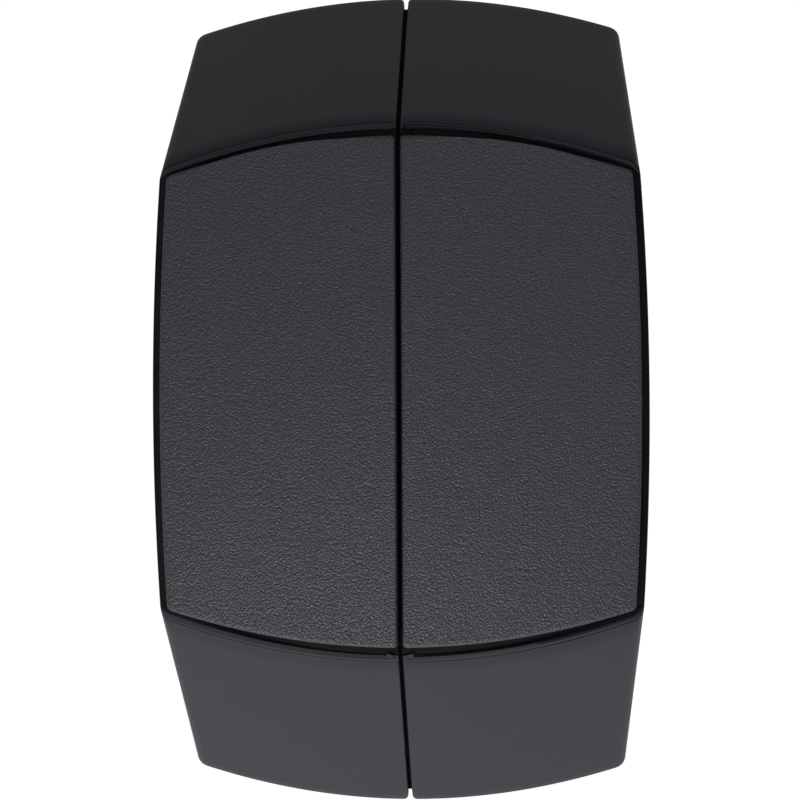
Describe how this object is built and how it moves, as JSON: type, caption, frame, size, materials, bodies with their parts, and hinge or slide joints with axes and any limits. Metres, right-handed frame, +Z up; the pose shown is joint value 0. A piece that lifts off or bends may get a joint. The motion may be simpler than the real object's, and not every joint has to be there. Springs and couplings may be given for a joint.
{
  "type": "pedestrian signal head",
  "caption": "Barrel-shaped pedestrian signal head: red and green LED optics under visors in front, and a grained clamshell rear whose leaves swing open at a central seam.",
  "frame": {"origin": "centre of the lower mounting bore, at its mouth in the lower pad", "axes": "+Z up along the head, +X to the right seen from behind the head, +Y forward, the way the lenses look"},
  "size_m": [0.272, 0.281, 0.46],
  "materials": {
    "housing_plastic": "fine matt moulding",
    "leaf_plastic": "smooth satin moulding",
    "leaf_grain": "leather grain moulding",
    "visor_plastic": "matt moulding",
    "lens_red": "tinted clear moulding",
    "lens_green": "tinted clear moulding",
    "rubber_black": "moulded cellular rubber",
    "insert_zinc": "die-cast and plated",
    "mask_black": "matt sheet",
    "diffuser_white": "opal sheet",
    "board_white": "solder-mask white laminate",
    "led_red": "clear epoxy dome",
    "led_green": "clear epoxy dome",
    "can_plastic": "moulded, glass filled",
    "driver_case": "cast case",
    "zinc_plated": "zinc-plated steel",
    "stainless": "stainless steel",
    "terminal_body": "polyamide",
    "brass": "turned and slotted",
    "lead_red": "PVC insulation",
    "lead_green": "PVC insulation"
  },
  "bodies": {
    "housing": {"front_housing": "housing_plastic", "housing_gasket": "rubber_black", "red_lens_gasket": "rubber_black", "green_lens_gasket": "rubber_black", "top_mount_insert": "insert_zinc", "bottom_mount_insert": "insert_zinc", "red_lens": "lens_red", "green_lens": "lens_green", "red_symbol_mask": "mask_black", "green_symbol_mask": "mask_black", "red_diffuser": "diffuser_white", "green_diffuser": "diffuser_white", "red_led_board": "board_white", "green_led_board": "board_white", "red_leds": "led_red", "green_leds": "led_green", "red_module_can": "can_plastic", "green_module_can": "can_plastic", "vent_plug": "can_plastic", "red_driver": "driver_case", "green_driver": "driver_case", "module_screws": "zinc_plated", "driver_screws": "zinc_plated", "bracket_screws": "zinc_plated", "terminal_bracket": "zinc_plated", "visor_screws": "stainless", "hinge_pins_left": "stainless", "hinge_pins_right": "stainless", "red_visor": "visor_plastic", "green_visor": "visor_plastic", "terminal_block": "terminal_body", "terminal_screws": "brass", "lock_bushes": "brass", "red_lead": "lead_red", "green_lead": "lead_green"},
    "left_leaf": {"left_rear_shell": "leaf_plastic", "left_rear_panel": "leaf_grain", "left_panel_screws": "zinc_plated", "left_strikers": "stainless", "seam_seal": "rubber_black"},
    "right_leaf": {"right_rear_shell": "leaf_plastic", "right_rear_panel": "leaf_grain", "right_panel_screws": "zinc_plated", "right_strikers": "stainless"},
    "lock_top_left": {"lock_spindle_top_left": "stainless", "lock_cam_top_left": "stainless"},
    "lock_top_right": {"lock_spindle_top_right": "stainless", "lock_cam_top_right": "stainless"},
    "lock_bottom_left": {"lock_spindle_bottom_left": "stainless", "lock_cam_bottom_left": "stainless"},
    "lock_bottom_right": {"lock_spindle_bottom_right": "stainless", "lock_cam_bottom_right": "stainless"}
  },
  "joints": [
    {"name": "left_leaf_swing", "type": "hinge", "parent": "housing", "child": "left_leaf", "pos_m": [-0.131, -0.015, 0.2245], "axis": [0, 0, -1], "range_deg": [0, 110]},
    {"name": "right_leaf_swing", "type": "hinge", "parent": "housing", "child": "right_leaf", "pos_m": [0.131, -0.015, 0.2245], "axis": [0, 0, 1], "range_deg": [0, 110]},
    {"name": "lock_top_left_turn", "type": "hinge", "parent": "housing", "child": "lock_top_left", "pos_m": [-0.045, -0.008, 0.2245], "axis": [0, 0, 1], "range_deg": [0, 90]},
    {"name": "lock_top_right_turn", "type": "hinge", "parent": "housing", "child": "lock_top_right", "pos_m": [0.045, -0.008, 0.2245], "axis": [0, 0, -1], "range_deg": [0, 90]},
    {"name": "lock_bottom_left_turn", "type": "hinge", "parent": "housing", "child": "lock_bottom_left", "pos_m": [-0.045, -0.008, 0.2245], "axis": [0, 0, 1], "range_deg": [0, 90]},
    {"name": "lock_bottom_right_turn", "type": "hinge", "parent": "housing", "child": "lock_bottom_right", "pos_m": [0.045, -0.008, 0.2245], "axis": [0, 0, -1], "range_deg": [0, 90]}
  ]
}
